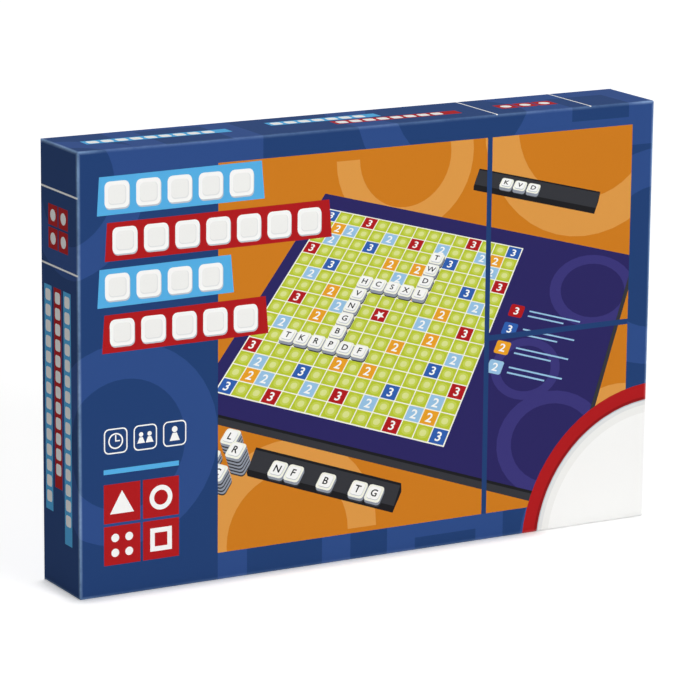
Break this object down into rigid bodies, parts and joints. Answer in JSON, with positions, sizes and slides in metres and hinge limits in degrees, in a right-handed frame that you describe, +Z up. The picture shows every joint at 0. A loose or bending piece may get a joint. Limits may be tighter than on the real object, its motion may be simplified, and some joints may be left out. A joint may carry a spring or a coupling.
{
  "type": "word board game in a lift-off lid box",
  "caption": "Word board game in a rigid two-piece box: lift-off lid over a tray with a formed insert, folding board, tile racks, stacked letter tiles and a leaflet.",
  "frame": {"origin": "middle of the long edge face that the closed box stands on", "axes": "+X along the box's width, +Y from the lid's printed panel to the tray's back, +Z up"},
  "size_m": [0.4, 0.05, 0.27],
  "materials": {
    "lid_print": "printed, gloss laminated",
    "tray_paper": "printed, matt",
    "stay_paper": "kraft tape",
    "greyboard": "solid compressed grey board",
    "board_core": "solid compressed grey board",
    "board_print": "printed, satin laminated",
    "board_liner": "black, fine linen emboss",
    "hinge_linen": "bookbinder's linen",
    "insert_plastic": "formed sheet",
    "leaflet_paper": "uncoated",
    "rack_plastic": "moulded, black",
    "tile_plastic": "moulded, white"
  },
  "bodies": {
    "tray": {"tray_panel": "greyboard", "tray_top_wall": "greyboard", "tray_bottom_wall": "greyboard", "tray_left_wall": "greyboard", "tray_right_wall": "greyboard", "tray_corner_stays": "stay_paper", "tray_wrap": "tray_paper"},
    "lid": {"lid_panel": "greyboard", "lid_top_wall": "greyboard", "lid_bottom_wall": "greyboard", "lid_left_wall": "greyboard", "lid_right_wall": "greyboard", "lid_corner_stays": "stay_paper", "lid_wrap": "lid_print"},
    "insert": {"insert": "insert_plastic"},
    "leaflet": {"rules_leaflet": "leaflet_paper"},
    "board_back_half": {"board_back_half_core": "board_core", "board_back_half_face": "board_print", "board_back_half_liner": "board_liner", "board_back_half_hinge_strip": "hinge_linen"},
    "board_front_half": {"board_front_half_core": "board_core", "board_front_half_face": "board_print", "board_front_half_liner": "board_liner", "board_front_half_hinge_strip": "hinge_linen"},
    "rack_1": {"rack_1": "rack_plastic"},
    "rack_2": {"rack_2": "rack_plastic"},
    "rack_3": {"rack_3": "rack_plastic"},
    "rack_4": {"rack_4": "rack_plastic"},
    "tiles_lower": {"tiles_lower_1": "tile_plastic", "tiles_lower_2": "tile_plastic", "tiles_lower_3": "tile_plastic", "tiles_lower_4": "tile_plastic", "tiles_lower_5": "tile_plastic", "tiles_lower_6": "tile_plastic"},
    "tiles_upper": {"tiles_upper_1": "tile_plastic", "tiles_upper_2": "tile_plastic", "tiles_upper_3": "tile_plastic", "tiles_upper_4": "tile_plastic", "tiles_upper_5": "tile_plastic", "tiles_upper_6": "tile_plastic"}
  },
  "joints": [
    {"name": "lid_lift", "type": "slide", "parent": "tray", "child": "lid", "axis": [0, -1, 0], "range_m": [0, 1.2]},
    {"name": "insert_lift", "type": "slide", "parent": "tray", "child": "insert", "axis": [0, -1, 0], "range_m": [0, 0.072]},
    {"name": "leaflet_lift", "type": "slide", "parent": "tray", "child": "leaflet", "axis": [0, -1, 0], "range_m": [0, 0.24]},
    {"name": "board_lift", "type": "slide", "parent": "tray", "child": "board_back_half", "axis": [0, -1, 0], "range_m": [0, 0.36]},
    {"name": "board_fold", "type": "hinge", "parent": "board_back_half", "child": "board_front_half", "pos_m": [0, -0.01495, 0.2564], "axis": [-1, 0, 0], "range_deg": [0, 180]},
    {"name": "rack_1_lift", "type": "slide", "parent": "insert", "child": "rack_1", "axis": [0, -1, 0], "range_m": [0, 0.072]},
    {"name": "rack_2_lift", "type": "slide", "parent": "insert", "child": "rack_2", "axis": [0, -1, 0], "range_m": [0, 0.072]},
    {"name": "rack_3_lift", "type": "slide", "parent": "insert", "child": "rack_3", "axis": [0, -1, 0], "range_m": [0, 0.072]},
    {"name": "rack_4_lift", "type": "slide", "parent": "insert", "child": "rack_4", "axis": [0, -1, 0], "range_m": [0, 0.072]},
    {"name": "tiles_lower_lift", "type": "slide", "parent": "insert", "child": "tiles_lower", "axis": [0, -1, 0], "range_m": [0, 0.06]},
    {"name": "tiles_upper_lift", "type": "slide", "parent": "insert", "child": "tiles_upper", "axis": [0, -1, 0], "range_m": [0, 0.06]}
  ],
  "couplings": [
    {"joint": "insert_lift", "follows": "lid_lift", "ratio": 0.06},
    {"joint": "leaflet_lift", "follows": "lid_lift", "ratio": 0.2},
    {"joint": "board_lift", "follows": "lid_lift", "ratio": 0.3},
    {"joint": "board_fold", "follows": "lid_lift", "rad_per_m": 2.6179},
    {"joint": "rack_1_lift", "follows": "lid_lift", "ratio": 0.06},
    {"joint": "rack_2_lift", "follows": "lid_lift", "ratio": 0.06},
    {"joint": "rack_3_lift", "follows": "lid_lift", "ratio": 0.06},
    {"joint": "rack_4_lift", "follows": "lid_lift", "ratio": 0.06},
    {"joint": "tiles_lower_lift", "follows": "lid_lift", "ratio": 0.05},
    {"joint": "tiles_upper_lift", "follows": "lid_lift", "ratio": 0.05}
  ]
}
